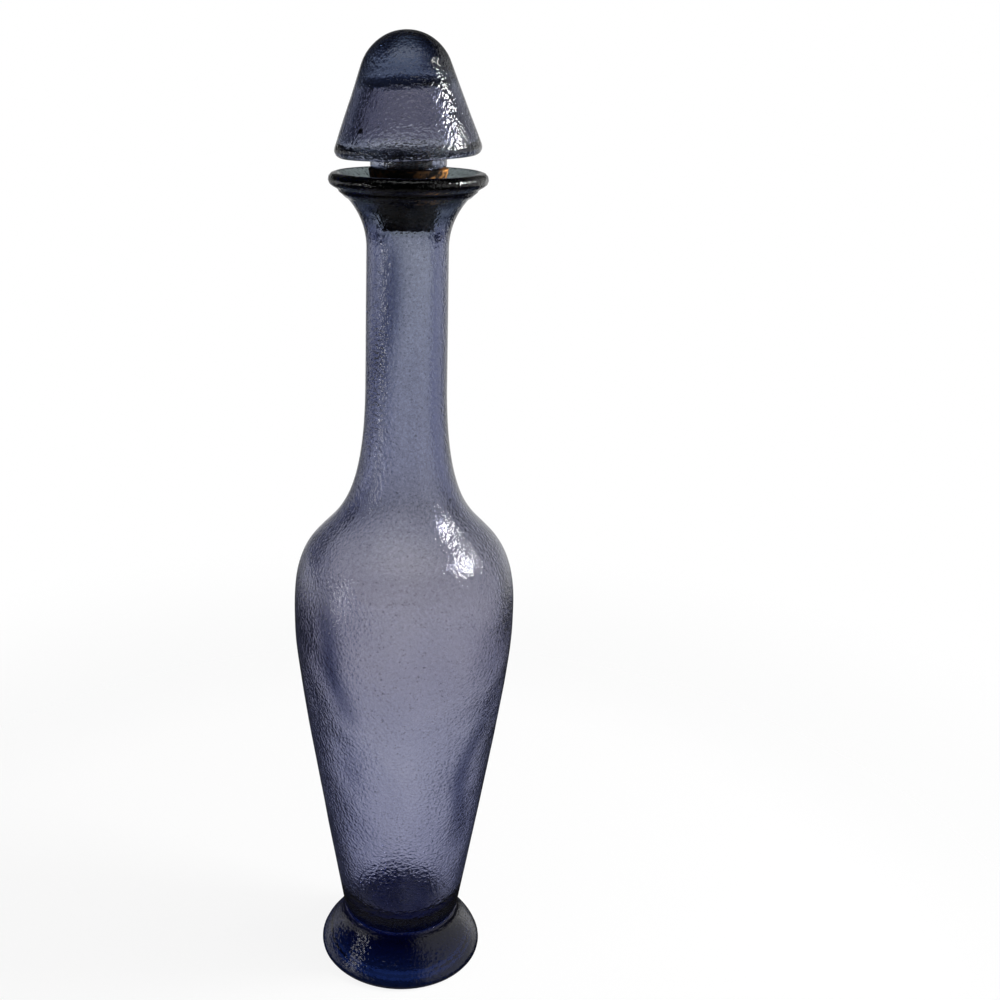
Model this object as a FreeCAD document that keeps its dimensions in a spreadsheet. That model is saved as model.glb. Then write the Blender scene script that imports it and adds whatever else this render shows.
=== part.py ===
"""A stoppered glass decanter: a blown vessel fused onto a solid foot, closed by a corked glass head.

Every piece is turned about Z. The origin is where the axis meets the table, and sizes are in millimetres.
"""
import FreeCAD, Part
import math
import os
import Sketcher

# Driving sizes: name, value and what it measures. A ratio is a plain share and an angle is in degrees.
DRIVING_SIZES = [
    ("foot_height", 21.0, "table to the fused joint under the vessel"),
    ("foot_radius", 33.6, "widest circle of the foot"),
    ("foot_edge", 2.4, "rounding between the foot's side and the table"),
    ("foot_rim_ratio", 0.25, "share of the foot's side that stays upright above the rim"),
    ("foot_waist_ratio", 0.35, "share of the foot's side that stays upright below the waist"),
    ("kick_radius", 25.0, "hollow under the foot, at the table"),
    ("kick_depth", 2.5, "hollow under the foot, at the axis"),
    ("kick_round", 1.0, "rounding where the hollow meets the table"),
    ("waist_radius", 24.0, "narrowest circle, where vessel and foot are fused"),
    ("crease_round", 0.8, "rounding on both sides of the fused joint"),
    ("belly_rise", 137.0, "fused joint to the vessel's widest circle"),
    ("belly_radius", 42.75, "widest circle of the vessel"),
    ("flank_low_ratio", 0.833, "share of the belly's rise where the flank starts to turn upright"),
    ("flank_high_ratio", 0.883, "share of the belly's rise where the flank is upright"),
    ("shoulder_rise", 92.0, "widest circle to the root of the neck"),
    ("shoulder_ratio", 0.524, "fullness of the shoulder above the belly"),
    ("neck_root_ratio", 0.838, "length of the sweep from the shoulder into the neck"),
    ("neck_length", 47.2, "root of the neck to the start of the flare"),
    ("neck_wall", 5.2, "glass around the bore at the top of the neck"),
    ("neck_draft", 0.4, "how much wider the neck's root is than its top"),
    ("bore_radius", 9.5, "bore of the neck"),
    ("flare_rise", 26.15, "start of the flare to the crest of the lip"),
    ("flare_ratio", 0.576, "share of the flare that stays close to the neck"),
    ("flare_reach", 3.6, "straight run of the flare into the lip's bead"),
    ("flare_angle", 24.0, "slope of the flare where it meets the bead"),
    ("lip_radius", 28.15, "outside of the lip's bead"),
    ("bead_radius", 2.45, "radius of the lip's bead"),
    ("wall", 4.4, "wall of the vessel, measured across"),
    ("shoulder_fill", 2.0, "how far the inner shoulder lies below the outer one"),
    ("floor_thickness", 3.5, "glass under the vessel's floor, above the fused joint"),
    ("floor_round", 8.0, "rounding between floor and flank inside"),
    ("seat_depth", 19.15, "crest of the lip down to the narrow end of the cork's seat"),
    ("seat_length", 6.5, "height of the ground seat"),
    ("seat_taper_ratio", 0.25, "radius gained for each millimetre up the seat and the cork"),
    ("funnel_angle", 30.0, "slope of the funnel where it meets the bead"),
    ("funnel_low_ratio", 0.4, "share of the funnel's rise that carries on along the seat"),
    ("funnel_high_ratio", 0.6, "share of the funnel's rise that runs out straight to the bead"),
    ("cork_gap", 0.1, "clearance between the cork and its seat, across"),
    ("cork_tip_lift", 0.3, "how far the cork's tip stays above the narrow end of the seat"),
    ("cork_stand", 1.5, "height of the cork's shoulder above the crest of the lip"),
    ("cork_edge", 0.6, "bevel on the cork's rims"),
    ("spigot_gap", 0.05, "clearance between the cork's spigot and the collar's bore"),
    ("spigot_sink", 1.9, "how far the spigot ends below the floor of the head's cavity"),
    ("collar_gap", 0.05, "clearance between the collar's ground rim and the cork's shoulder"),
    ("collar_height", 3.7, "ground rim of the collar to the underside of the head"),
    ("collar_radius", 13.4, "outside of the collar"),
    ("collar_bore", 8.9, "bore of the collar"),
    ("collar_round", 0.8, "roundings on the collar"),
    ("head_height", 41.4, "underside of the head to its crown"),
    ("head_radius", 25.7, "widest circle of the head"),
    ("head_edge", 2.7, "rounding of the head's rim"),
    ("head_lean_angle", 20.6, "lean of the head's side from upright"),
    ("head_wall", 5.4, "rim of the head to the edge of its cavity, across"),
    ("head_floor", 2.2, "glass under the cavity"),
    ("head_crown", 15.4, "solid glass above the cavity"),
    ("vault_rise", 4.4, "height of the rounded vault at the top of the cavity"),
    ("vault_side_ratio", 0.5, "share of the vault's rise that carries on along the cavity's side"),
    ("vault_top_ratio", 0.62, "share of the vault's half width that stays level at its top"),
    ("cavity_round", 1.0, "rounding around the floor of the cavity"),
]

doc = FreeCAD.newDocument("Decanter")
sheet = doc.addObject("Spreadsheet::Sheet", "Sizes")
for row, (alias, size, meaning) in enumerate(DRIVING_SIZES, start=1):
    sheet.set(f"A{row}", meaning)
    sheet.set(f"B{row}", str(size))
    sheet.setAlias(f"B{row}", alias)
doc.recompute()

# Heights above the table, from the foot upwards.
BELLY_Z = "(Sizes.foot_height + Sizes.belly_rise)"
NECK_Z = f"({BELLY_Z} + Sizes.shoulder_rise)"
FLARE_Z = f"({NECK_Z} + Sizes.neck_length)"
LIP_Z = f"({FLARE_Z} + Sizes.flare_rise)"
SEAT_Z = f"({LIP_Z} - Sizes.seat_depth)"
TIP_Z = f"({SEAT_Z} + Sizes.cork_tip_lift)"
CORK_Z = f"({LIP_Z} + Sizes.cork_stand)"
COLLAR_Z = f"({CORK_Z} + Sizes.collar_gap)"
HEAD_Z = f"({COLLAR_Z} + Sizes.collar_height)"
CAVITY_Z = f"({HEAD_Z} + Sizes.head_floor)"
CROWN_Z = f"({HEAD_Z} + Sizes.head_height)"


def worth(expression):
    """The number that an expression over the sheet comes to."""
    return float(sheet.evalExpression(expression))


def spot(point):
    """Where a point, a pair of expressions for radius and height, lies in its sketch."""
    return FreeCAD.Vector(worth(point[0]), worth(point[1]), 0)


def new_body(name):
    body = doc.addObject("PartDesign::Body", name)
    body.Label = name
    return body


def pin(sketch, geometry, end, point):
    """Dimensions one point from the axis and from the table."""
    for direction, expression in zip(("DistanceX", "DistanceY"), point):
        number = sketch.addConstraint(
            Sketcher.Constraint(direction, -1, 1, geometry, end, worth(expression)))
        sketch.setExpression(f"Constraints[{number}]", expression)


def draw_line(sketch, start, end):
    return sketch.addGeometry(Part.LineSegment(spot(start), spot(end))), 1, 2


def draw_curve(sketch, start, first_handle, second_handle, end):
    """A cubic curve whose two handles are dimensioned like any other point."""
    curve = Part.BSplineCurve()
    poles = [spot(point) for point in (start, first_handle, second_handle, end)]
    curve.buildFromPolesMultsKnots(poles, [4, 4], [0, 1], False, 3)
    number = sketch.addGeometry(curve)
    sketch.exposeInternalGeometry(number)
    pin(sketch, number + 2, 3, first_handle)
    pin(sketch, number + 3, 3, second_handle)
    return number, 1, 2


def draw_round(sketch, start, end, radius, hollow):
    """An arc of less than half a circle that bulges out of the glass, or into it where hollow."""
    left, right = (spot(end), spot(start)) if hollow else (spot(start), spot(end))
    chord = right - left
    away = math.sqrt(worth(radius) ** 2 - (chord.Length / 2) ** 2)
    centre = left + chord / 2 + FreeCAD.Vector(-chord.y, chord.x, 0) * (away / chord.Length)
    circle = Part.Circle(centre, FreeCAD.Vector(0, 0, 1), worth(radius))
    angles = [math.atan2(point.y - centre.y, point.x - centre.x) for point in (left, right)]
    number = sketch.addGeometry(Part.ArcOfCircle(circle, *angles))
    bound = sketch.addConstraint(Sketcher.Constraint("Radius", number, worth(radius)))
    sketch.setExpression(f"Constraints[{bound}]", radius)
    return (number, 2, 1) if hollow else (number, 1, 2)


def turned(body, start, *steps):
    """Turns a closed half section about Z.

    Each step goes on from the last point: ("line", end), ("curve", handle, handle, end),
    ("round", end, radius) or ("hollow", end, radius). The last step ends on the axis, like the start.
    """
    sketch = body.newObject("Sketcher::SketchObject", f"{body.Label}_section")
    plane = next(feature for feature in body.Origin.OriginFeatures if feature.Role == "XZ_Plane")
    sketch.AttachmentSupport = [(plane, "")]
    sketch.MapMode = "FlatFace"
    runs = []
    here = start
    for kind, *given in steps:
        if kind == "line":
            end = given[0]
            runs.append((draw_line(sketch, here, end), end))
        elif kind == "curve":
            end = given[2]
            runs.append((draw_curve(sketch, here, *given), end))
        else:
            end = given[0]
            runs.append((draw_round(sketch, here, *given, hollow=(kind == "hollow")), end))
        here = end
    runs.append((draw_line(sketch, here, start), start))
    for (before, end), (after, _) in zip(runs, runs[1:] + runs[:1]):
        sketch.addConstraint(Sketcher.Constraint("Coincident", before[0], before[2], after[0], after[1]))
        pin(sketch, before[0], before[2], end)
    doc.recompute()
    if not sketch.FullyConstrained:
        raise RuntimeError(f"{sketch.Label} is not fully dimensioned")
    revolution = body.newObject("PartDesign::Revolution", f"{body.Label}_turned")
    revolution.Profile = sketch
    revolution.ReferenceAxis = (sketch, ["V_Axis"])
    revolution.Angle = 360
    doc.recompute()
    return revolution


def ring(feature, radius, height):
    """The name of the circular edge of this radius at this height."""
    near = 1e-4
    for number, edge in enumerate(feature.Shape.Edges, start=1):
        if edge.Degenerated or not isinstance(edge.Curve, Part.Circle):
            continue
        off_radius = abs(edge.Curve.Radius - worth(radius))
        off_height = abs(edge.Curve.Center.z - worth(height))
        if off_radius < near and off_height < near:
            return f"Edge{number}"
    raise RuntimeError(f"{feature.Label} has no edge of radius {radius} at {height}")


def dress(body, kind, name, size, *rings):
    """Rounds or bevels the edges at the given pairs of radius and height, on the body's last feature."""
    base = body.Tip
    feature = body.newObject(f"PartDesign::{kind}", f"{body.Label}_{name}")
    feature.Base = (base, [ring(base, *place) for place in rings])
    feature.setExpression("Radius" if kind == "Fillet" else "Size", size)
    doc.recompute()


def build_foot():
    """Solid glass foot, cast onto the vessel: an S-curved side and a shallow hollow underneath."""
    body = new_body("foot")
    side_rise = "(Sizes.foot_height - Sizes.foot_edge)"
    dome = "((Sizes.kick_radius ^ 2 + Sizes.kick_depth ^ 2) / (2 * Sizes.kick_depth))"
    turned(
        body, ("0", "Sizes.kick_depth"),
        ("hollow", ("Sizes.kick_radius", "0"), dome),
        ("line", ("Sizes.foot_radius - Sizes.foot_edge", "0")),
        ("round", ("Sizes.foot_radius", "Sizes.foot_edge"), "Sizes.foot_edge"),
        ("curve",
         ("Sizes.foot_radius", f"Sizes.foot_edge + Sizes.foot_rim_ratio * {side_rise}"),
         ("Sizes.waist_radius", f"Sizes.foot_height - Sizes.foot_waist_ratio * {side_rise}"),
         ("Sizes.waist_radius", "Sizes.foot_height")),
        ("line", ("0", "Sizes.foot_height")))
    dress(body, "Fillet", "standing_ring", "Sizes.kick_round", ("Sizes.kick_radius", "0"))
    dress(body, "Fillet", "crease", "Sizes.crease_round", ("Sizes.waist_radius", "Sizes.foot_height"))
    return body


def build_bottle_body():
    """The vessel, one blown piece from its floor to its lip, with a ground seat for the cork."""
    body = new_body("bottle_body")
    flank_low = "(Sizes.foot_height + Sizes.flank_low_ratio * Sizes.belly_rise)"
    flank_high = "(Sizes.foot_height + Sizes.flank_high_ratio * Sizes.belly_rise)"
    flank_lean = "((Sizes.belly_radius - Sizes.waist_radius) / (Sizes.flank_low_ratio * Sizes.belly_rise))"
    shoulder_low = f"({BELLY_Z} + Sizes.shoulder_ratio * Sizes.shoulder_rise)"
    shoulder_high = f"({NECK_Z} - Sizes.neck_root_ratio * Sizes.shoulder_rise)"
    neck = "(Sizes.bore_radius + Sizes.neck_wall)"
    neck_root = f"({neck} + Sizes.neck_draft)"
    bead_centre = ("(Sizes.lip_radius - Sizes.bead_radius)", f"({LIP_Z} - Sizes.bead_radius)")
    bead_under = (f"({bead_centre[0]} + Sizes.bead_radius * sin(Sizes.flare_angle))",
                  f"({bead_centre[1]} - Sizes.bead_radius * cos(Sizes.flare_angle))")
    bead_inside = (f"({bead_centre[0]} - Sizes.bead_radius * sin(Sizes.funnel_angle))",
                   f"({bead_centre[1]} + Sizes.bead_radius * cos(Sizes.funnel_angle))")
    seat_top = ("(Sizes.bore_radius + Sizes.seat_taper_ratio * Sizes.seat_length)",
                f"({SEAT_Z} + Sizes.seat_length)")
    funnel_rise = f"({bead_inside[1]} - {seat_top[1]})"
    funnel_low = f"(Sizes.funnel_low_ratio * {funnel_rise})"
    funnel_high = f"(Sizes.funnel_high_ratio * {funnel_rise})"
    inner_belly = "(Sizes.belly_radius - Sizes.wall)"
    floor_z = "(Sizes.foot_height + Sizes.floor_thickness)"
    floor_corner = f"(Sizes.waist_radius + {flank_lean} * Sizes.floor_thickness - Sizes.wall)"
    turned(
        body, ("0", "Sizes.foot_height"),
        ("line", ("Sizes.waist_radius", "Sizes.foot_height")),
        ("curve", ("Sizes.belly_radius", flank_low), ("Sizes.belly_radius", flank_high),
         ("Sizes.belly_radius", BELLY_Z)),
        ("curve", ("Sizes.belly_radius", shoulder_low), (neck_root, shoulder_high), (neck_root, NECK_Z)),
        ("line", (neck, FLARE_Z)),
        ("curve",
         (neck, f"{FLARE_Z} + Sizes.flare_ratio * ({bead_under[1]} - {FLARE_Z})"),
         (f"{bead_under[0]} - Sizes.flare_reach * cos(Sizes.flare_angle)",
          f"{bead_under[1]} - Sizes.flare_reach * sin(Sizes.flare_angle)"),
         bead_under),
        ("round", ("Sizes.lip_radius", bead_centre[1]), "Sizes.bead_radius"),
        ("round", bead_inside, "Sizes.bead_radius"),
        ("curve",
         (f"{bead_inside[0]} - {funnel_high} * cos(Sizes.funnel_angle)",
          f"{bead_inside[1]} - {funnel_high} * sin(Sizes.funnel_angle)"),
         (f"{seat_top[0]} + {funnel_low} * Sizes.seat_taper_ratio", f"{seat_top[1]} + {funnel_low}"),
         seat_top),
        ("line", ("Sizes.bore_radius", SEAT_Z)),
        ("line", ("Sizes.bore_radius", NECK_Z)),
        ("curve",
         ("Sizes.bore_radius", f"{shoulder_high} - Sizes.shoulder_fill"),
         (inner_belly, f"{shoulder_low} - Sizes.shoulder_fill"),
         (inner_belly, BELLY_Z)),
        ("curve", (inner_belly, flank_high), (inner_belly, flank_low), (floor_corner, floor_z)),
        ("line", ("0", floor_z)))
    dress(body, "Fillet", "floor_corner", "Sizes.floor_round", (floor_corner, floor_z))
    dress(body, "Fillet", "crease", "Sizes.crease_round", ("Sizes.waist_radius", "Sizes.foot_height"))
    return body


def build_cork():
    """A tapered cork, with a spigot on top that plugs the bore of the glass head."""
    body = new_body("cork")
    tip = "(Sizes.bore_radius + Sizes.seat_taper_ratio * Sizes.cork_tip_lift - Sizes.cork_gap)"
    shoulder = f"({tip} + Sizes.seat_taper_ratio * ({CORK_Z} - {TIP_Z}))"
    spigot = "(Sizes.collar_bore - Sizes.spigot_gap)"
    spigot_top = f"({CAVITY_Z} - Sizes.spigot_sink)"
    turned(
        body, ("0", TIP_Z),
        ("line", (tip, TIP_Z)),
        ("line", (shoulder, CORK_Z)),
        ("line", (spigot, CORK_Z)),
        ("line", (spigot, spigot_top)),
        ("line", ("0", spigot_top)))
    dress(body, "Chamfer", "rims", "Sizes.cork_edge",
          (tip, TIP_Z), (shoulder, CORK_Z), (spigot, spigot_top))
    return body


def build_stopper_head():
    """A hollow glass head like a small upturned bottle, with a ground collar that holds the cork."""
    body = new_body("stopper_head")
    lean = "Sizes.head_lean_angle"
    rim_centre = ("(Sizes.head_radius - Sizes.head_edge)", f"({HEAD_Z} + Sizes.head_edge)")
    rim_top = (f"({rim_centre[0]} + Sizes.head_edge * cos({lean}))",
               f"({rim_centre[1]} + Sizes.head_edge * sin({lean}))")
    dome_reach = f"({rim_centre[0]} * cos({lean}) + Sizes.head_edge)"
    dome_drop = f"(({CROWN_Z} - {rim_centre[1]}) * sin({lean}))"
    dome = f"(({dome_reach} - {dome_drop}) / (1 - sin({lean})))"
    dome_foot = (f"({dome} * cos({lean}))", f"({CROWN_Z} - {dome} * (1 - sin({lean})))")
    ceiling_z = f"({CROWN_Z} - Sizes.head_crown)"
    cavity_low = "(Sizes.head_radius - Sizes.head_wall)"
    vault_z = f"({ceiling_z} - Sizes.vault_rise)"
    vault_edge = f"({cavity_low} - ({vault_z} - {CAVITY_Z}) * tan({lean}))"
    vault_side = (f"({vault_edge} - Sizes.vault_side_ratio * Sizes.vault_rise * tan({lean}))",
                  f"({vault_z} + Sizes.vault_side_ratio * Sizes.vault_rise)")
    turned(
        body, ("0", ceiling_z),
        ("curve", (f"(Sizes.vault_top_ratio * {vault_edge})", ceiling_z), vault_side, (vault_edge, vault_z)),
        ("line", (cavity_low, CAVITY_Z)),
        ("line", ("Sizes.collar_bore", CAVITY_Z)),
        ("line", ("Sizes.collar_bore", COLLAR_Z)),
        ("line", ("Sizes.collar_radius", COLLAR_Z)),
        ("line", ("Sizes.collar_radius", HEAD_Z)),
        ("line", (rim_centre[0], HEAD_Z)),
        ("round", ("Sizes.head_radius", rim_centre[1]), "Sizes.head_edge"),
        ("round", rim_top, "Sizes.head_edge"),
        ("line", dome_foot),
        ("round", ("0", CROWN_Z), dome))
    dress(body, "Fillet", "cavity_corner", "Sizes.cavity_round", (cavity_low, CAVITY_Z))
    dress(body, "Fillet", "collar_corners", "Sizes.collar_round",
          ("Sizes.collar_radius", COLLAR_Z), ("Sizes.collar_radius", HEAD_Z))
    return body


pieces = [build_foot(), build_bottle_body(), build_cork(), build_stopper_head()]
doc.recompute()

for thing in doc.Objects:
    if "Invalid" in thing.State or "Error" in thing.State:
        raise RuntimeError(f"{thing.Label} failed: {thing.State}")
for piece in pieces:
    if piece.Shape.isNull() or not piece.Shape.isValid() or len(piece.Shape.Solids) != 1:
        raise RuntimeError(f"{piece.Label} is not one valid solid")

os.makedirs("parts", exist_ok=True)
for piece in pieces:
    print(f"{piece.Label}: {piece.Shape.Volume / 1000:.1f} cm3")
    piece.Shape.exportStep(f"parts/{piece.Label}.step")
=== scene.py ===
import math

import bpy
from mathutils import Matrix, Vector


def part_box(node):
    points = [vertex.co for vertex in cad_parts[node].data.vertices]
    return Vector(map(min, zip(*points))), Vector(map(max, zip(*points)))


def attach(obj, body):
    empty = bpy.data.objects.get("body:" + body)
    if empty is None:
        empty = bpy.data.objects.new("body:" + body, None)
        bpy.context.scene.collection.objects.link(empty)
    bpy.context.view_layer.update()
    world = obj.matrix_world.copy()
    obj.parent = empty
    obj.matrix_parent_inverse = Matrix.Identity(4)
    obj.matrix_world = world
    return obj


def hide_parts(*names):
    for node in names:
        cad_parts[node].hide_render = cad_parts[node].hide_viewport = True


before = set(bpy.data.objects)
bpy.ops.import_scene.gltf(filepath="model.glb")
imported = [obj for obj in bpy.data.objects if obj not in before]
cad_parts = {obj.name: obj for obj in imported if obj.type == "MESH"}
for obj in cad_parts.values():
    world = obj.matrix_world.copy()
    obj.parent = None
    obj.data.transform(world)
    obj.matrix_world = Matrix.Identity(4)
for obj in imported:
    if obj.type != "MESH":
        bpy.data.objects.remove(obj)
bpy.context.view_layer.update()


# Foot
# A thick round foot of dark pressed glass, flaring from the waist to a rounded standing ring.
# The hot foot is welded to the vessel, so a fine crease runs round the bottle where they meet,
# and a shallow kick under it leaves only the outer ring on the table.
mm = 0.001
foot_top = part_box("foot")[1].z
foot_radius = 33.6 * mm
foot_edge = 2.4 * mm
kick_radius = 25 * mm
kick_depth = 2.5 * mm
kick_round = 1 * mm
stand_edge = 0.6 * mm
stand_pull = 0.2 * mm
waist_radius = 24 * mm
crease_round = 0.8 * mm
sweep_low = foot_edge + 0.25 * (foot_top - foot_edge)
sweep_high = foot_top - 0.35 * (foot_top - foot_edge)
foot_swell_low = 4 * mm
foot_swell_high = 18 * mm
ground_facing = -0.5
navy_top = 18 * mm
weld_clear = 20.5 * mm
navy = (0.024, 0.04, 0.105)
untinted = (1.0, 1.0, 1.0)


def line(end):
    """A straight stretch of a half section, to a point given as radius and height."""
    return [(end,)]


def curve(leave, arrive, end):
    """A curved stretch of a half section, with the two handles that pull it."""
    return [(leave, arrive, end)]


def arc(centre, radius, first_angle, last_angle):
    """A round stretch about a centre, in pieces of a quarter turn at most, angles in degrees."""
    pieces = math.ceil(abs(last_angle - first_angle) / 90)
    turn = math.radians(last_angle - first_angle) / pieces
    pull = 4 / 3 * math.tan(turn / 4) * radius
    stretches = []
    for piece in range(pieces):
        a = math.radians(first_angle) + turn * piece
        b = a + turn
        start = (centre[0] + radius * math.cos(a), centre[1] + radius * math.sin(a))
        end = (centre[0] + radius * math.cos(b), centre[1] + radius * math.sin(b))
        leave = (start[0] - pull * math.sin(a), start[1] + pull * math.cos(a))
        arrive = (end[0] + pull * math.sin(b), end[1] - pull * math.cos(b))
        stretches.append((leave, arrive, end))
    return stretches


def turn_on_axis(name, start, stretches, spacing, steps):
    """Draws a half section as Bezier stretches, makes it a mesh line and spins it about the axis."""
    finest = 64
    touching = 1e-6
    bpy.ops.object.select_all(action="DESELECT")
    bpy.ops.curve.primitive_bezier_curve_add()
    piece = bpy.context.object
    piece.name = name
    piece.data.splines.clear()
    here = Vector((start[0], 0, start[1]))
    for stretch in stretches:
        *handles, end = [Vector((radius, 0, height)) for radius, height in stretch]
        if not handles:
            handles = [here.lerp(end, 1 / 3), here.lerp(end, 2 / 3)]
        spline = piece.data.splines.new("BEZIER")
        spline.bezier_points.add(1)
        first, last = spline.bezier_points
        for knot, spot in ((first, here), (last, end)):
            knot.handle_left_type = "FREE"
            knot.handle_right_type = "FREE"
            knot.co = knot.handle_left = knot.handle_right = spot
        first.handle_right, last.handle_left = handles
        corners = [here, *handles, end]
        reach = sum((b - a).length for a, b in zip(corners, corners[1:]))
        spline.resolution_u = max(1, min(finest, round(reach / spacing)))
        here = end
    bpy.ops.object.convert(target="MESH")
    bpy.ops.object.mode_set(mode="EDIT")
    bpy.ops.mesh.select_all(action="SELECT")
    bpy.ops.mesh.remove_doubles(threshold=touching)
    bpy.ops.mesh.spin(steps=steps, angle=math.tau, center=(0, 0, 0), axis=(0, 0, 1))
    bpy.ops.mesh.select_all(action="SELECT")
    bpy.ops.mesh.remove_doubles(threshold=touching)
    bpy.ops.mesh.normals_make_consistent(inside=False)
    bpy.ops.object.mode_set(mode="OBJECT")
    bpy.ops.object.shade_smooth()
    return piece


def make_wavy(piece, name, size, depth, share, middle=0.5):
    """Pushes the surface in and out in soft waves, by a share from 0 to 1 of the depth at each vertex."""
    swell = bpy.data.textures.new(name, "CLOUDS")
    swell.noise_scale = size
    swell.noise_depth = 1
    group = piece.vertex_groups.new(name=name)
    for vertex in piece.data.vertices:
        group.add([vertex.index], share(vertex), "REPLACE")
    bpy.ops.object.modifier_add(type="DISPLACE")
    waves = piece.modifiers[-1]
    waves.texture = swell
    waves.texture_coords = "LOCAL"
    waves.strength = depth
    waves.mid_level = middle
    waves.vertex_group = name
    bpy.ops.object.modifier_apply(modifier=waves.name)
    piece.vertex_groups.clear()


def foot_share(vertex):
    """Waves on the flare alone, so that the standing ring and the weld stay true."""
    return 1.0 if foot_swell_low < vertex.co.z < foot_swell_high else 0.0


def is_outside(vertex):
    """Whether the surface faces away from the axis at a vertex."""
    return vertex.normal.x * vertex.co.x + vertex.normal.y * vertex.co.y > 0


def mark_skin(piece, inside_share):
    """Marks how rough the skin is: fully outside, where the mould was, and by a share inside."""
    skin = piece.data.attributes.new("skin", "FLOAT", "POINT")
    for vertex, mark in zip(piece.data.vertices, skin.data):
        mark.value = 1.0 if is_outside(vertex) else inside_share


def add_node(tree, kind, **settings):
    """Adds a node to a tree, with its options set."""
    node = tree.nodes.new(kind)
    for option, value in settings.items():
        setattr(node, option, value)
    return node


def add_math(tree, operation, *values):
    """A sum on some values, each a number or another node's output."""
    node = add_node(tree, "ShaderNodeMath", operation=operation)
    for socket, value in zip(node.inputs, values):
        if isinstance(value, (int, float)):
            socket.default_value = value
        else:
            tree.links.new(value, socket)
    return node.outputs["Value"]


def add_range(tree, value, source, target=(0.0, 1.0), shape="LINEAR"):
    """A value carried from one range to another, and held at the ends."""
    node = add_node(tree, "ShaderNodeMapRange", interpolation_type=shape)
    node.inputs["From Min"].default_value, node.inputs["From Max"].default_value = source
    node.inputs["To Min"].default_value, node.inputs["To Max"].default_value = target
    tree.links.new(value, node.inputs["Value"])
    return node.outputs["Result"]


def add_noise(tree, place, scale, detail):
    """A soft random pattern over the place."""
    node = add_node(tree, "ShaderNodeTexNoise")
    node.inputs["Scale"].default_value = scale
    node.inputs["Detail"].default_value = detail
    tree.links.new(place, node.inputs["Vector"])
    return node.outputs["Fac"]


def add_cells(tree, place, scale):
    """Scattered cells over the place: the distance from each one's middle, and a colour for each."""
    node = add_node(tree, "ShaderNodeTexVoronoi")
    node.inputs["Scale"].default_value = scale
    tree.links.new(place, node.inputs["Vector"])
    return node.outputs["Distance"], node.outputs["Color"]


def add_scaled(tree, colour, scale):
    """A colour made brighter or darker by a factor."""
    node = add_node(tree, "ShaderNodeVectorMath", operation="SCALE")
    tree.links.new(colour, node.inputs["Vector"])
    tree.links.new(scale, node.inputs["Scale"])
    return node.outputs["Vector"]


def add_attribute(tree, name):
    """A mark that was put on the mesh's vertices, 0 where there is none."""
    return add_node(tree, "ShaderNodeAttribute", attribute_name=name).outputs["Fac"]


def glass_skin(tree, place, peel, peel_scale, pit_depth):
    """An orange-peel skin with small pits, rough where the glass is ground."""
    pit_scale = 420
    pit_reach = (0.05, 0.24)
    pit_rarity = 0.6
    peel_noise = (0.3, 0.7)
    polish = (0.0, 0.05)
    ground_roughness = 0.6
    shader = tree.nodes["Principled BSDF"]
    pebbles = add_noise(tree, place, peel_scale, 1)
    pit_distance, pit_colour = add_cells(tree, place, pit_scale)
    crater = add_range(tree, pit_distance, pit_reach, (-pit_depth / mm, 0.0), "SMOOTHSTEP")
    chosen = add_math(tree, "GREATER_THAN", pit_colour, pit_rarity)
    sunk = add_math(tree, "MULTIPLY", crater, chosen)
    relief = add_math(tree, "MULTIPLY_ADD", pebbles, peel / mm, sunk)
    bump = add_node(tree, "ShaderNodeBump")
    bump.inputs["Strength"].default_value = 1.0
    bump.inputs["Distance"].default_value = mm
    skin = add_attribute(tree, "skin")
    tree.links.new(add_math(tree, "MULTIPLY", relief, skin), bump.inputs["Height"])
    tree.links.new(bump.outputs["Normal"], shader.inputs["Normal"])
    gloss = add_range(tree, pebbles, peel_noise, polish)
    rough = add_math(tree, "MULTIPLY_ADD", add_attribute(tree, "ground"), ground_roughness, gloss)
    tree.links.new(rough, shader.inputs["Roughness"])


def glass_hue(tree, height, hues):
    """The colour of the glass at each height, from pairs of a height and a colour, the lowest first."""
    lowest, highest = hues[0][0], hues[-1][0]
    ramp = add_node(tree, "ShaderNodeValToRGB")
    tree.links.new(add_range(tree, height, (lowest, highest)), ramp.inputs["Fac"])
    marks = ramp.color_ramp.elements
    marks.remove(marks[0])
    for stop, (level, hue) in enumerate(hues):
        position = (level - lowest) / (highest - lowest)
        mark = marks[0] if stop == 0 else marks.new(position)
        mark.position = position
        mark.color = (*hue, 1)
    return ramp.outputs["Color"]


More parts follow.
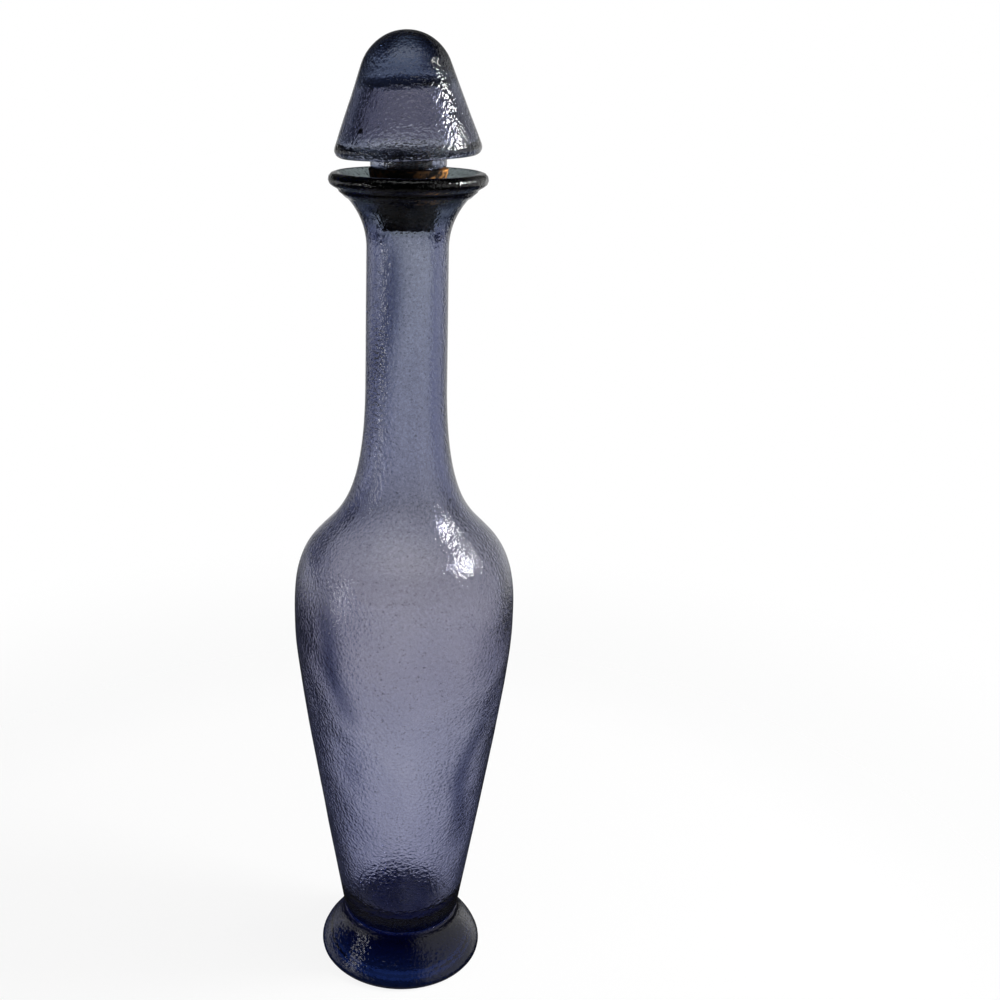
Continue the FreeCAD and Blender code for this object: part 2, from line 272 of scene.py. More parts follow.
def glass_clearness(tree, place, height, grain, seed):
    """How clear the glass is: less in cloudy spots, at specks and at the seed, and more where it is ground,
    which is painted light that lightens the glass seen through it.
    """
    cloud_scale = 950
    cloud_noise = (0.35, 0.65)
    speck_scale = 750
    speck_reach = (0.12, 0.24)
    speck_depth = 0.7
    speck_rarity = 0.52
    ground_painted_light = 3.1
    seed_reach = (0.7, 1.1)
    seed_clearness = 0.001
    (low, low_clear), (high, high_clear) = grain
    cloud = add_range(tree, height, (low, high), (1 - low_clear, 1 - high_clear))
    spots = add_range(tree, add_noise(tree, place, cloud_scale, 2), cloud_noise, (1.0, 0.0))
    mottle = add_math(tree, "SUBTRACT", 1.0, add_math(tree, "MULTIPLY", spots, cloud))
    speck_distance, speck_colour = add_cells(tree, place, speck_scale)
    dust = add_range(tree, speck_distance, speck_reach, (-speck_depth, 0.0))
    chosen = add_math(tree, "GREATER_THAN", speck_colour, speck_rarity)
    specks = add_math(tree, "MULTIPLY_ADD", dust, chosen, 1.0)
    # Painted light: the ground underside passes more of its colour, so the glass seen through it is
    # lighter.
    painted_underside_light = add_range(tree, add_attribute(tree, "ground"), (0.0, 1.0), (1.0, ground_painted_light))
    clearness = add_math(tree, "MULTIPLY", add_math(tree, "MULTIPLY", mottle, specks), painted_underside_light)
    if seed:
        seed_place, seed_radius = seed
        apart = add_node(tree, "ShaderNodeVectorMath", operation="DISTANCE")
        tree.links.new(place, apart.inputs[0])
        apart.inputs[1].default_value = seed_place
        edge = [share * seed_radius for share in seed_reach]
        past_seed = add_range(tree, apart.outputs["Value"], edge, (seed_clearness, 1.0))
        clearness = add_math(tree, "MULTIPLY", clearness, past_seed)
    return clearness


def melted_glass(
    name, absorbs, hues, peel, peel_scale, pit_depth, grain=((0.0, 0.9), (1.0, 0.9)), seed=None
):
    """Tinted glass with an orange-peel skin, small pits and fine grains, and a hue for each height.

    It absorbs a share of red, green and blue light for each millimetre that the light goes through.
    The grain gives the clearness of the cloudiest spots at two heights. A seed is a dark grain caught in
    the skin, given by its place and radius. Bands marked on the mesh are painted shade, darker and bluer.
    """
    refraction = 1.5
    painted_shade_hue = (0.26, 0.29, 0.42, 1)
    material = bpy.data.materials.new(name)
    material.use_nodes = True
    tree = material.node_tree
    shader = tree.nodes["Principled BSDF"]
    shader.inputs["IOR"].default_value = refraction
    shader.inputs["Transmission Weight"].default_value = 1.0
    place = add_node(tree, "ShaderNodeTexCoord").outputs["Object"]
    spot = add_node(tree, "ShaderNodeSeparateXYZ")
    tree.links.new(place, spot.inputs["Vector"])
    height = spot.outputs["Z"]
    glass_skin(tree, place, peel, peel_scale, pit_depth)

    # Painted shade: where a band is marked, the hue is multiplied by a darker, bluer colour.
    painted_shade_mix = add_node(tree, "ShaderNodeMix", data_type="RGBA", blend_type="MULTIPLY")
    tree.links.new(add_attribute(tree, "painted_shade_band"), painted_shade_mix.inputs["Factor"])
    tree.links.new(glass_hue(tree, height, hues), painted_shade_mix.inputs["A"])
    painted_shade_mix.inputs["B"].default_value = painted_shade_hue
    clearness = glass_clearness(tree, place, height, grain, seed)
    tree.links.new(add_scaled(tree, painted_shade_mix.outputs["Result"], clearness), shader.inputs["Base Color"])

    density = max(absorbs)
    melt = add_node(tree, "ShaderNodeVolumeAbsorption")
    melt.inputs["Color"].default_value = (*[1 - share / density for share in absorbs], 1)
    melt.inputs["Density"].default_value = density / mm
    tree.links.new(melt.outputs["Volume"], tree.nodes["Material Output"].inputs["Volume"])
    return material


foot = turn_on_axis(
    "foot_glass",
    (0, kick_depth),
    line((kick_radius - kick_round, kick_depth))
    + arc((kick_radius - kick_round, kick_depth - kick_round), kick_round, 90, 0)
    + line((kick_radius, stand_edge))
    + curve((kick_radius, stand_pull), (kick_radius + stand_pull, 0), (kick_radius + stand_edge, 0))
    + line((foot_radius - foot_edge, 0))
    + arc((foot_radius - foot_edge, foot_edge), foot_edge, -90, 0)
    + curve((foot_radius, sweep_low), (waist_radius, sweep_high), (waist_radius, foot_top - crease_round))
    + arc((waist_radius - crease_round, foot_top - crease_round), crease_round, 0, 90)
    + line((0, foot_top)),
    spacing=1.0 * mm,
    steps=160,
)
make_wavy(foot, "foot_swell", 14 * mm, 0.5 * mm, foot_share)
mark_skin(foot, 0.3)
# The ground underside is rougher, and its colour is lifted there as painted light.
ground = foot.data.attributes.new("ground", "FLOAT", "POINT")
for vertex, mark in zip(foot.data.vertices, ground.data):
    mark.value = 1.0 if vertex.normal.z < ground_facing else 0.0
foot.data.materials.append(
    melted_glass(
        "navy_foot_glass",
        absorbs=(0.17, 0.13, 0.06),
        hues=[(0.0, navy), (navy_top, navy), (weld_clear, untinted)],
        peel=0.24 * mm,
        peel_scale=800,
        pit_depth=0.03 * mm,
    )
)
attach(foot, "bottle")
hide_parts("foot")


# Vessel
# The hollow body of the bottle, of violet-grey glass blown in a mould, from the belly to a long neck and
# a flared mouth with a round bead. Its wall is uneven inside, and bands of painted shade, darker and bluer,
# draw the dark bands that dark surroundings make in the glass. The mould's halves have left a fine ridge
# on the lip, with a raised ring under it where the lip's own mould closed.
lip_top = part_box("bottle_body")[1].z
belly_height = 158 * mm
belly_radius = 42.75 * mm
flank_low = foot_top + 0.833 * (belly_height - foot_top)
flank_high = foot_top + 0.883 * (belly_height - foot_top)
neck_foot = 250 * mm
shoulder_low = belly_height + 0.524 * (neck_foot - belly_height)
shoulder_high = neck_foot - 0.838 * (neck_foot - belly_height)
neck_foot_radius = 15.1 * mm
neck_top = 297.2 * mm
neck_top_radius = 14.7 * mm
bead_radius = 2.45 * mm
bead_centre = (25.7 * mm, lip_top - bead_radius)
flare_angle = 24
flare_reach = 3.6 * mm
bead_under = (
    bead_centre[0] + bead_radius * math.sin(math.radians(flare_angle)),
    bead_centre[1] - bead_radius * math.cos(math.radians(flare_angle)),
)
flare_low = neck_top + 0.576 * (bead_under[1] - neck_top)
flare_pull = (
    bead_under[0] - flare_reach * math.cos(math.radians(flare_angle)),
    bead_under[1] - flare_reach * math.sin(math.radians(flare_angle)),
)
ring_low_share = 0.65
ring_high_share = 0.82
ring_depth = 0.35 * mm
ring_ease = 0.6
funnel_angle = 30
funnel_share = 0.4
bore_radius = 9.5 * mm
seat_low = 304.2 * mm
seat_high = 310.7 * mm
seat_radius = 11.125 * mm
bead_inside = (
    bead_centre[0] - bead_radius * math.sin(math.radians(funnel_angle)),
    bead_centre[1] + bead_radius * math.cos(math.radians(funnel_angle)),
)
funnel_run = funnel_share * math.hypot(bead_inside[0] - seat_radius, bead_inside[1] - seat_high)
funnel_pull = (
    bead_inside[0] - funnel_run * math.cos(math.radians(funnel_angle)),
    bead_inside[1] - funnel_run * math.sin(math.radians(funnel_angle)),
)
seat_slope = (seat_radius - bore_radius) / (seat_high - seat_low)
seat_rise = funnel_share * (bead_inside[1] - seat_high)
seat_pull = (seat_radius + seat_slope * seat_rise, seat_high + seat_rise)
wall = 4.4 * mm
shoulder_fill = 2 * mm
floor_height = foot_top + 3.5 * mm
floor_radius = 20.2 * mm
floor_round = 8 * mm
floor_lean = 0.6 * mm
weld_sink = 0.4 * mm
weld_step = 0.1 * mm
weld_margin = 4 * mm
seat_margin = 6 * mm
wave_fade = 20 * mm
slim_radius = 8 * mm
slim_fade = 25 * mm
slim_share = 0.25
outside_share = 0.35


def cut_curve(start, leave, arrive, end, share):
    """Cuts a curved stretch in two at a share of its way, and gives the four points of each."""
    points = [Vector(point) for point in (start, leave, arrive, end)]
    low = [points[0]]
    high = [points[-1]]
    while len(points) > 1:
        points = [first.lerp(second, share) for first, second in zip(points, points[1:])]
        low.append(points[0])
        high.append(points[-1])
    return low, high[::-1]


under_ring, over_ring = cut_curve(
    (neck_top_radius, neck_top), (neck_top_radius, flare_low), flare_pull, bead_under, ring_low_share
)
ring, over_ring = cut_curve(*over_ring, (ring_high_share - ring_low_share) / (1 - ring_low_share))
along_ring = (ring[3] - ring[0]).normalized()
ring_slope = ring_ease * ring_depth * along_ring
ring_out = Vector((along_ring.y, -along_ring.x)) * ring_depth

vessel = turn_on_axis(
    "vessel_glass",
    (0, foot_top - weld_sink),
    line((waist_radius - crease_round, foot_top - weld_sink))
    + curve(
        (waist_radius - 0.3 * crease_round, foot_top - weld_sink),
        (waist_radius, foot_top + 0.3 * crease_round),
        (waist_radius + weld_step, foot_top + crease_round),
    )
    + curve((belly_radius, flank_low), (belly_radius, flank_high), (belly_radius, belly_height))
    + curve((belly_radius, shoulder_low), (neck_foot_radius, shoulder_high), (neck_foot_radius, neck_foot))
    + line((neck_top_radius, neck_top))
    + curve(*under_ring[1:])
    + line(ring[0] + ring_out + ring_slope)
    + curve(ring[1] + ring_out, ring[2] + ring_out, ring[3] + ring_out - ring_slope)
    + line(ring[3])
    + curve(*over_ring[1:])
    + arc(bead_centre, bead_radius, flare_angle - 90, 90 + funnel_angle)
    + curve(funnel_pull, seat_pull, (seat_radius, seat_high))
    + line((bore_radius, seat_low))
    + line((bore_radius, neck_foot))
    + curve(
        (bore_radius, shoulder_high - shoulder_fill),
        (belly_radius - wall, shoulder_low - shoulder_fill),
        (belly_radius - wall, belly_height),
    )
    + curve(
        (belly_radius - wall, flank_high),
        (belly_radius - wall, flank_low),
        (floor_radius + floor_lean, floor_height + floor_round),
    )
    + curve(
        (floor_radius - floor_lean, floor_height + 0.4 * floor_round),
        (floor_radius - 0.6 * floor_round, floor_height),
        (floor_radius - 1.1 * floor_round, floor_height),
    )
    + line((0, floor_height)),
    spacing=1.5 * mm,
    steps=192,
)


def wall_share(vertex):
    """Full waves inside the body and neck and small ones outside, none at the foot's weld and the seat."""
    radius = math.hypot(vertex.co.x, vertex.co.y)
    rising = min(1, max(0, (vertex.co.z - foot_top - weld_margin) / wave_fade))
    ending = min(1, max(0, (seat_low - seat_margin - vertex.co.z) / wave_fade))
    slim = min(1, max(slim_share, (radius - slim_radius) / slim_fade))
    return rising * ending * slim * (outside_share if is_outside(vertex) else 1.0)


make_wavy(vessel, "wall_swell", 22 * mm, 1.0 * mm, wall_share)

seam_turns = (-52.5, 127.5)
seam_half = 0.35 * mm
seam_height = 0.25 * mm
seam_reach = 2.5 * mm
seam_line = 0.1 * seam_half
lip_margin = 2 * mm
lip_facing = 0.2


def choose_lip(along, side, half_width):
    """Selects the outside of the lip within a half width of a seam, and goes into edit mode."""
    bpy.ops.object.mode_set(mode="EDIT")
    bpy.ops.mesh.select_all(action="DESELECT")
    bpy.ops.object.mode_set(mode="OBJECT")
    for vertex in vessel.data.vertices:
        near = abs(vertex.co.dot(side)) < half_width
        outer = vertex.co.z > ring[0].y - lip_margin and vertex.co.dot(along) > ring[0].x - lip_margin
        vertex.select = near and outer and vertex.normal.dot(along) > lip_facing
    bpy.ops.object.mode_set(mode="EDIT")


for seam_turn in seam_turns:
    seam_along = Vector((math.cos(math.radians(seam_turn)), math.sin(math.radians(seam_turn)), 0))
    seam_side = Vector((-seam_along.y, seam_along.x, 0))
    for offset in (-seam_half, seam_half):
        choose_lip(seam_along, seam_side, seam_reach)
        bpy.ops.mesh.bisect(plane_co=seam_side * offset, plane_no=seam_side)
    choose_lip(seam_along, seam_side, seam_line)
    bpy.ops.transform.shrink_fatten(value=seam_height)
    bpy.ops.object.mode_set(mode="OBJECT")
mark_skin(vessel, 0.25)


def mark_painted_shade_band(piece, top, bend, bottom, strength, half_width):
    """Marks a band of painted shade on the glass, which eases from its top through a bend to its bottom.

    Each of the three is a turn in degrees and a height. The painted shade is darkest at the bend.
    """
    marks = piece.data.attributes.get("painted_shade_band") or piece.data.attributes.new("painted_shade_band", "FLOAT", "POINT")
    for vertex, mark in zip(piece.data.vertices, marks.data):
        end = top if vertex.co.z > bend[1] else bottom
        share = (vertex.co.z - bend[1]) / (end[1] - bend[1])
        if share < 1:
            middle = bend[0] + (3 - 2 * share) * share**2 * (end[0] - bend[0])
            turn = math.degrees(math.atan2(vertex.co.y, vertex.co.x))
            radius = math.hypot(vertex.co.x, vertex.co.y)
            away = radius * math.radians(abs(turn - middle)) / half_width
            mark.value = max(mark.value, strength * (1 - share**3) * max(0, 1 - away**2) ** 2)


# Three bands of painted shade, where dark surroundings show through the neck and the body's left and right.
mark_painted_shade_band(
    vessel,
    top=(-119, 304 * mm),
    bend=(-119, 284 * mm),
    bottom=(-155, 236 * mm),
    strength=0.9,
    half_width=7.5 * mm,
)
mark_painted_shade_band(
    vessel,
    top=(-136.5, 180 * mm),
    bend=(-131.5, 149 * mm),
    bottom=(-120, 121 * mm),
    strength=0.95,
    half_width=7.5 * mm,
)
mark_painted_shade_band(
    vessel,
    top=(-32, 133 * mm),
    bend=(-50, 97 * mm),
    bottom=(-39, 56 * mm),
    strength=0.9,
    half_width=6 * mm,
)
vessel.data.materials.append(
    melted_glass(
        "violet_glass",
        absorbs=(0.112, 0.106, 0.072),
        hues=[
            (50 * mm, (0.995, 0.985, 1.0)),
            (115 * mm, (0.995, 0.98, 0.97)),
            (150 * mm, (0.91, 0.87, 0.855)),
            (190 * mm, (1.0, 0.98, 0.935)),
            (220 * mm, (1.0, 1.0, 0.99)),
            (270 * mm, (0.985, 1.0, 0.98)),
            (302 * mm, (0.985, 1.0, 0.96)),
            (308 * mm, (0.78, 0.84, 0.68)),
            (313 * mm, (0.55, 0.63, 0.50)),
            (319 * mm, (0.40, 0.46, 0.39)),
        ],
        peel=0.29 * mm,
        peel_scale=820,
        pit_depth=0.05 * mm,
        grain=((160 * mm, 0.9), (210 * mm, 0.76)),
    )
)
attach(vessel, "bottle")
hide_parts("bottle_body")


# Cork
# The natural cork that closes the neck, cut as a tapered plug and glued up inside the stopper.
# Painted shade darkens it to a dark brown, apart from a painted lit patch high on its right, where the
# lamp falls on it, and its skin is crumbled from being pushed in many times.
cork_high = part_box("cork")[1]
cork_tip = 304.5 * mm
cork_stand = 324.85 * mm
cork_tip_radius = 9.47 * mm
cork_top_radius = cork_high.x - 0.1 * mm
cork_edge = 0.6 * mm
spigot_radius = 8.85 * mm
spigot_top = cork_high.z
cork_dark = (0.012, 0.007, 0.003, 1)
cork_light = (0.44, 0.19, 0.04, 1)
cork_pore = (0.035, 0.018, 0.008, 1)
cork_roughness = 0.85
cork_sheen = 0.2
cork_grain_scale = 420
cork_dark_end = 0.42
cork_light_start = 0.66
pore_scale = 650
pore_reach = (0.15, 0.35)
lit_patch_edge = 3.0 * mm
lit_patch_blur = 2.0 * mm
lit_patch_low = 319 * mm
lit_patch_slant = 1.3
painted_shade_share = 0.12
cork_relief = 0.4 * mm
cork_relief_strength = 0.8

cork = turn_on_axis(
    "cork_plug",
    (0, cork_tip),
    line((cork_tip_radius - cork_edge, cork_tip))
    + arc((cork_tip_radius - cork_edge, cork_tip + cork_edge), cork_edge, -90, 0)
    + line((cork_top_radius, cork_stand - cork_edge))
    + arc((cork_top_radius - cork_edge, cork_stand - cork_edge), cork_edge, 0, 90)
    + line((spigot_radius, cork_stand))
    + line((spigot_radius, spigot_top))
    + line((0, spigot_top)),
    spacing=0.6 * mm,
    steps=128,
)
make_wavy(cork, "cork_crumble", 1.6 * mm, 0.5 * mm, lambda vertex: 1.0, middle=1.0)
cork_skin = bpy.data.materials.new("natural_cork")
cork_skin.use_nodes = True
cork_tree = cork_skin.node_tree
cork_shader = cork_tree.nodes["Principled BSDF"]
cork_shader.inputs["Roughness"].default_value = cork_roughness
cork_shader.inputs["Specular IOR Level"].default_value = cork_sheen
cork_place = add_node(cork_tree, "ShaderNodeTexCoord").outputs["Object"]
cork_grain = add_noise(cork_tree, cork_place, cork_grain_scale, 4)
cork_tone = add_node(cork_tree, "ShaderNodeValToRGB")
cork_stops = cork_tone.color_ramp.elements
cork_stops[0].position, cork_stops[0].color = cork_dark_end, cork_dark
cork_stops[1].position, cork_stops[1].color = cork_light_start, cork_light
cork_tree.links.new(cork_grain, cork_tone.inputs["Fac"])
pore_distance, _ = add_cells(cork_tree, cork_place, pore_scale)
cork_colour = add_node(cork_tree, "ShaderNodeMix", data_type="RGBA")
cork_colour.inputs["A"].default_value = cork_pore
cork_tree.links.new(add_range(cork_tree, pore_distance, pore_reach), cork_colour.inputs["Factor"])
cork_tree.links.new(cork_tone.outputs["Color"], cork_colour.inputs["B"])

# Painted light and shade: the cork is darkened all round except a lit patch at its right above a height,
# whose edge slants with height.
cork_spot = add_node(cork_tree, "ShaderNodeSeparateXYZ")
cork_tree.links.new(cork_place, cork_spot.inputs["Vector"])
lit_patch_rise = add_math(
    cork_tree, "MULTIPLY_ADD", cork_spot.outputs["Z"], -lit_patch_slant, lit_patch_slant * lit_patch_low
)
lit_patch_aside = add_math(cork_tree, "ADD", cork_spot.outputs["X"], lit_patch_rise)
cork_lit_side = add_range(cork_tree, lit_patch_aside, (lit_patch_edge, lit_patch_edge + lit_patch_blur), shape="SMOOTHSTEP")
lit_patch_fade = (lit_patch_low - 2 * lit_patch_blur, lit_patch_low - lit_patch_blur)
cork_lit_height = add_range(cork_tree, cork_spot.outputs["Z"], lit_patch_fade, shape="SMOOTHSTEP")
cork_lit_patch = add_math(cork_tree, "MULTIPLY", cork_lit_side, cork_lit_height)
cork_painted_shade = add_range(cork_tree, cork_lit_patch, (0.0, 1.0), (painted_shade_share, 1.0))
cork_shaded_colour = add_scaled(cork_tree, cork_colour.outputs["Result"], cork_painted_shade)
cork_tree.links.new(cork_shaded_colour, cork_shader.inputs["Base Color"])
cork_bump = add_node(cork_tree, "ShaderNodeBump")
cork_bump.inputs["Strength"].default_value = cork_relief_strength
cork_bump.inputs["Distance"].default_value = cork_relief
cork_tree.links.new(cork_grain, cork_bump.inputs["Height"])
cork_tree.links.new(cork_bump.outputs["Normal"], cork_shader.inputs["Normal"])
cork.data.materials.append(cork_skin)
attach(cork, "cork")
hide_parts("cork")


# Stopper
# The bell-shaped head of the stopper, of the same glass with a thick wall and a hollow inside. It was
# pressed in a mould, with a short collar below that grips the cork glued into it, and it leans a little
# on the cork. A dark grain is caught in its skin at the left.
stopper_low, stopper_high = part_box("stopper_head")
collar_low = stopper_low.z
collar_radius = 13.4 * mm
collar_bore = 8.9 * mm
collar_round = 0.8 * mm
head_low = 328.6 * mm
crown_top = stopper_high.z
rim_round = 2.7 * mm
rim_centre = (23.0 * mm, head_low + rim_round)
rim_margin = 2 * mm
side_angle = 20.6
side_cos = math.cos(math.radians(side_angle))
side_sin = math.sin(math.radians(side_angle))
side_tan = math.tan(math.radians(side_angle))
dome_reach = rim_centre[0] * side_cos + rim_round - (crown_top - rim_centre[1]) * side_sin
dome_radius = dome_reach / (1 - side_sin)
hollow_low = 330.8 * mm
hollow_low_radius = 20.3 * mm
hollow_round = 1 * mm
hollow_high = 354.6 * mm
vault_low = 350.2 * mm
vault_radius = hollow_low_radius - (vault_low - hollow_low) * side_tan
vault_pull = 2.2 * mm
vault_flat = 0.62 * vault_radius
corner_inset = hollow_round * math.tan(math.radians(45 + side_angle / 2))
low_corner = (hollow_low_radius - corner_inset, hollow_low + hollow_round)
head_lean = math.radians(-2.1)
lean_centre = Vector((0, 0, 0.5 * (collar_low + head_low)))
seed_place = (-16.2 * mm, -17.3 * mm, 337.8 * mm)
seed_radius = 1.15 * mm

stopper = turn_on_axis(
    "stopper_glass",
    (0, crown_top),
    arc((0, crown_top - dome_radius), dome_radius, 90, side_angle)
    + line((rim_centre[0] + rim_round * side_cos, rim_centre[1] + rim_round * side_sin))
    + arc(rim_centre, rim_round, side_angle, -90)
    + line((collar_radius + collar_round, head_low))
    + arc((collar_radius + collar_round, head_low - collar_round), collar_round, 90, 180)
    + line((collar_radius, collar_low + collar_round))
    + arc((collar_radius - collar_round, collar_low + collar_round), collar_round, 0, -90)
    + line((collar_bore, collar_low))
    + line((collar_bore, hollow_low))
    + line((low_corner[0], hollow_low))
    + arc(low_corner, hollow_round, -90, side_angle)
    + line((vault_radius, vault_low))
    + curve(
        (vault_radius - vault_pull * side_tan, vault_low + vault_pull),
        (vault_flat, hollow_high),
        (0, hollow_high),
    ),
    spacing=0.8 * mm,
    steps=160,
)


def head_share(vertex):
    """Waves over the head alone, so that its rim and collar stay true."""
    return 1.0 if vertex.co.z > head_low + rim_margin else 0.0


make_wavy(stopper, "head_swell", 14 * mm, 0.25 * mm, head_share)
for vertex in stopper.data.vertices:
    tipped = min(1, max(0, (vertex.co.z - collar_low) / (head_low - collar_low)))
    vertex.co = lean_centre + Matrix.Rotation(head_lean * tipped, 3, "Y") @ (vertex.co - lean_centre)
mark_skin(stopper, 0.4)
stopper.data.materials.append(
    melted_glass(
        "stopper_glass",
        absorbs=(0.075, 0.068, 0.052),
        hues=[
            (332.5 * mm, (1.0, 1.0, 1.0)),
            (336 * mm, (0.53, 0.515, 0.58)),
            (350 * mm, (0.53, 0.515, 0.58)),
            (356 * mm, (0.93, 0.95, 0.93)),
            (360.5 * mm, (0.93, 0.95, 0.93)),
            (365 * mm, (0.28, 0.33, 0.38)),
        ],
        peel=0.33 * mm,
        peel_scale=800,
        pit_depth=0.06 * mm,
        seed=(seed_place, seed_radius),
    )
)
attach(stopper, "stopper_head")
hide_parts("stopper_head")


# Table
# A plain pale round table top under the bottle, which takes its soft shadow and fades out at its edge.
# It isn't part of the bottle.
table_radius = 0.5
table_fade = (0.2, 0.48)
table_paint_colour = (0.94, 0.94, 0.94, 1)
table_roughness = 0.9
table_white_share = 0.89
bpy.ops.object.select_all(action="DESELECT")
bpy.ops.mesh.primitive_circle_add(vertices=96, radius=table_radius, fill_type="NGON")
table = bpy.context.object
table.name = "table_top"
table.visible_glossy = False
table.visible_transmission = False
table_paint = bpy.data.materials.new("pale_table")
table_paint.use_nodes = True
table_tree = table_paint.node_tree
table_shader = table_tree.nodes["Principled BSDF"]
table_shader.inputs["Base Color"].default_value = table_paint_colour
table_shader.inputs["Roughness"].default_value = table_roughness
table_shader.inputs["Specular IOR Level"].default_value = 0.0
table_place = add_node(table_tree, "ShaderNodeTexCoord").outputs["Object"]
table_out = add_node(table_tree, "ShaderNodeVectorMath", operation="LENGTH")
table_tree.links.new(table_place, table_out.inputs[0])
table_rim = add_range(table_tree, table_out.outputs["Value"], table_fade, (1.0, 0.0), "SMOOTHSTEP")
table_ray = add_node(table_tree, "ShaderNodeLightPath")
table_lift = add_math(table_tree, "MULTIPLY", table_ray.outputs["Is Camera Ray"], table_white_share)
table_white = add_node(table_tree, "ShaderNodeEmission")
table_mix = add_node(table_tree, "ShaderNodeMixShader")
table_tree.links.new(table_lift, table_mix.inputs["Fac"])
table_tree.links.new(table_shader.outputs["BSDF"], table_mix.inputs[1])
table_tree.links.new(table_white.outputs["Emission"], table_mix.inputs[2])
table_clear = add_node(table_tree, "ShaderNodeBsdfTransparent")
table_cut = add_node(table_tree, "ShaderNodeMixShader")
table_tree.links.new(table_rim, table_cut.inputs["Fac"])
table_tree.links.new(table_clear.outputs["BSDF"], table_cut.inputs[1])
table_tree.links.new(table_mix.outputs["Shader"], table_cut.inputs[2])
table_tree.links.new(table_cut.outputs["Shader"], table_tree.nodes["Material Output"].inputs["Surface"])
table.data.materials.append(table_paint)


# Light
# A white studio: pale cards stand round the bottle, with dark flags before them that draw the dark bands
# and edges of the glass, between dimmer walls and a ceiling that it mirrors. A soft window lamp at the
# right makes its highlights, and a weak strip lamp stands at the left.
studio = bpy.data.worlds.new("white_studio")
bpy.context.scene.world = studio
studio.use_nodes = True
sky = studio.node_tree
background = sky.nodes["Background"]


def sky_math(operation, *values):
    """A sum on some values of the sky, each a number or another node's output."""
    return add_math(sky, operation, *values)


def sky_step(value, low, high):
    """A smooth step of a value from 0 to 1."""
    return add_range(sky, value, (low, high), shape="SMOOTHSTEP")


def sky_band(value, rise, fall, kept):
    """A value that rises from 0 to 1 over one range and then falls to what is kept over another."""
    drop = sky_math("MULTIPLY", sky_step(value, *fall), 1 - kept)
    return sky_math("MULTIPLY", sky_step(value, *rise), sky_math("SUBTRACT", 1, drop))


def sky_shade(light, flag, depth):
    """A light, darkened by a share where a flag stands before it."""
    return sky_math("MULTIPLY", light, sky_math("SUBTRACT", 1, sky_math("MULTIPLY", flag, depth)))


towards = add_node(sky, "ShaderNodeSeparateXYZ")
sky.links.new(add_node(sky, "ShaderNodeTexCoord").outputs["Generated"], towards.inputs["Vector"])
aside = towards.outputs["X"]
ahead = towards.outputs["Y"]
aloft = towards.outputs["Z"]
to_the_left = sky_math("MULTIPLY", aside, -1)
behind = sky_math("MULTIPLY", ahead, -1)
below = sky_math("MULTIPLY", aloft, -1)
bearing = sky_math("DEGREES", sky_math("ARCTAN2", aside, ahead))
left_bearing = sky_math("MULTIPLY", bearing, -1)
side_bearing = sky_math("ABSOLUTE", bearing)
card_half = 45
rightward = sky_math("WRAP", bearing, card_half, -card_half)
leftward = sky_math("MULTIPLY", rightward, -1)

backdrop_light = 0.90
left_flag_edge = (8, 13)
left_flag_rows = ((0.375, 0.41), (0.50, 0.56), 0.3)
right_card = ((40, 50), (95, 105), 0)
right_flag_span = ((13, 18), (24, 32), 0.6)
right_flag_rows = (0.47, 0.54)
left_fall_edge = (6, 16)
body_rows = (0.30, 0.37)
body_fall = 0.7
corner_edge = (30, 44)
lift_rows = ((0.30, 0.37), (0.44, 0.50), 0)
lift_edge = (6, 14)
belly_rows = ((0.24, 0.30), (0.43, 0.50), 0.76)
belly_edge = (16, 26)
side_edge = (22, 38)
side_rows = (-0.05, 0.08)
high_rows = (0.25, 0.5)
left_flag = sky_math("MULTIPLY", sky_step(leftward, *left_flag_edge), sky_band(below, *left_flag_rows))
left_flag = sky_shade(left_flag, sky_band(bearing, *right_card), 1.0)
right_flag = sky_math("MULTIPLY", sky_band(rightward, *right_flag_span), sky_step(below, *right_flag_rows))
left_fall = sky_shade(sky_step(leftward, *left_fall_edge), sky_step(below, *body_rows), body_fall)
corner_fall = sky_step(rightward, *corner_edge)
right_lift = sky_math("MULTIPLY", sky_band(below, *lift_rows), sky_step(rightward, *lift_edge))
belly_flag = sky_math("MULTIPLY", sky_band(below, *belly_rows), sky_step(left_bearing, *belly_edge))
side_flag = sky_math("MULTIPLY", sky_step(side_bearing, *side_edge), sky_step(aloft, *side_rows))
high_flag = sky_step(aloft, *high_rows)
backdrop = sky_shade(backdrop_light, left_flag, 0.55)
backdrop = sky_shade(backdrop, right_flag, 0.85)
backdrop = sky_shade(backdrop, left_fall, 0.25)
backdrop = sky_shade(backdrop, corner_fall, 0.15)
backdrop = sky_shade(backdrop, right_lift, -0.11)
backdrop = sky_shade(backdrop, belly_flag, 0.925)
backdrop = sky_shade(backdrop, side_flag, 0.9)
backdrop = sky_shade(backdrop, high_flag, 0.85)

room_light = 0.015
ceiling_light = 0.9
ceiling_rows = (0.68, 0.86)
ceiling_edge = (0.0, 0.35)
table_glow = 0.12
table_rows = (0.68, 0.85)
wall_light = 0.6
wall_rows = ((-0.42, -0.25), (0.45, 0.65), 0)
right_wall_edge = (0.3, 0.8)
back_wall_edge = (0.5, 0.9)
back_wall_left = (0.1, 0.45)
back_wall_high = (0.02, 0.15)
left_wall_light = 0.6
left_wall_edge = (0.5, 0.8)
left_wall_rows = ((-0.28, -0.2), (-0.03, 0.05), 0)
ceiling = sky_math("MULTIPLY", sky_step(aloft, *ceiling_rows), sky_step(behind, *ceiling_edge))
back_wall = sky_shade(sky_step(ahead, *back_wall_edge), sky_step(to_the_left, *back_wall_left), 0.7)
back_wall = sky_shade(back_wall, sky_step(aloft, *back_wall_high), 0.85)
walls = sky_math("ADD", sky_step(aside, *right_wall_edge), back_wall)
walls = sky_math("MULTIPLY", walls, sky_band(aloft, *wall_rows))
left_wall = sky_math("MULTIPLY", sky_step(to_the_left, *left_wall_edge), sky_band(aloft, *left_wall_rows))
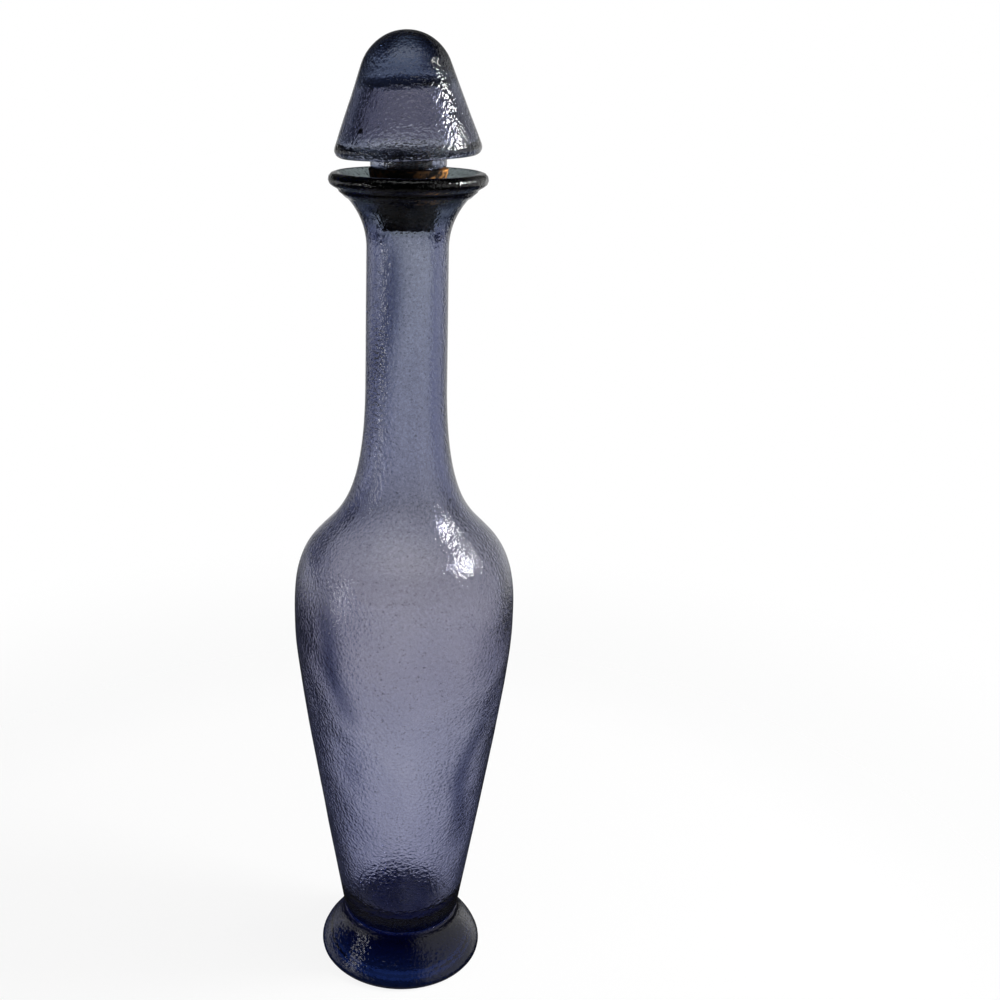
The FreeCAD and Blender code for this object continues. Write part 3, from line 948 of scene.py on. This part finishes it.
room = sky_math("MULTIPLY_ADD", ceiling, ceiling_light, room_light)
room = sky_math("MULTIPLY_ADD", sky_step(below, *table_rows), table_glow, room)
room = sky_math("MULTIPLY_ADD", walls, wall_light, room)
room = sky_math("MULTIPLY_ADD", left_wall, left_wall_light, room)

fill_light = 0.03
right_light = 14.0
right_light_edge = (0.75, 0.95)
ray = add_node(sky, "ShaderNodeLightPath")
fill = sky_math("MULTIPLY_ADD", sky_step(aside, *right_light_edge), right_light, fill_light)
room = sky_math("MULTIPLY_ADD", ray.outputs["Is Diffuse Ray"], fill, room)
unscattered = sky_math("LESS_THAN", ray.outputs["Diffuse Depth"], 0.5)
through_glass = sky_math("MULTIPLY", ray.outputs["Is Transmission Ray"], unscattered)
level = sky_math("MULTIPLY_ADD", sky_math("SUBTRACT", backdrop, room), through_glass, room)
level = sky_math("MAXIMUM", level, ray.outputs["Is Camera Ray"])
sky.links.new(level, background.inputs["Strength"])
flag_tint = (0.76, 0.86, 1.32, 1)
shaded = sky_math("SUBTRACT", 1, sky_math("DIVIDE", backdrop, backdrop_light))
tint = add_node(sky, "ShaderNodeMix", data_type="RGBA")
tint.inputs["A"].default_value = (1, 1, 1, 1)
tint.inputs["B"].default_value = flag_tint
sky.links.new(sky_math("MULTIPLY", shaded, through_glass), tint.inputs["Factor"])
sky.links.new(tint.outputs["Result"], background.inputs["Color"])

lamp_aim = Vector((0, 0, 0.25))


def soft_lamp(name, way, distance, width, height, radiance):
    """A soft rectangular lamp that faces the bottle, given by the radiance of its face."""
    way = Vector(way).normalized()
    bpy.ops.object.light_add(type="AREA", location=lamp_aim + way * distance)
    lamp = bpy.context.object
    lamp.name = name
    lamp.data.shape = "RECTANGLE"
    lamp.data.size, lamp.data.size_y = width, height
    lamp.data.energy = radiance * math.pi * width * height
    lamp.rotation_euler = way.to_track_quat("Z", "Y").to_euler()
    lamp.visible_camera = False


soft_lamp("window_lamp", (0.80, -0.05, 0.44), distance=0.52, width=0.145, height=0.11, radiance=50)
soft_lamp("left_strip_lamp", (-0.93, -0.36, 0.0), distance=1.0, width=0.10, height=0.5, radiance=4)


# Camera
# The photograph's own view: close in front, as high as the stopper and tipped down by a fifth of a
# right angle, turned very slightly about its line of sight.
view_place = (0, -0.4517, 0.3617)
view_pitch = math.radians(19.49)
view_roll = math.radians(0.6)
bpy.ops.object.camera_add(location=view_place)
camera = bpy.context.object
camera.name = "photo_camera"
camera.rotation_euler = (
    Matrix.Rotation(math.pi / 2 - view_pitch, 3, "X") @ Matrix.Rotation(view_roll, 3, "Z")
).to_euler()
camera.data.sensor_width = 36
camera.data.lens = 45.25
camera.data.shift_x = 0.095
camera.data.clip_start = 0.01
bpy.context.scene.camera = camera
bpy.context.scene.view_settings.view_transform = "Standard"
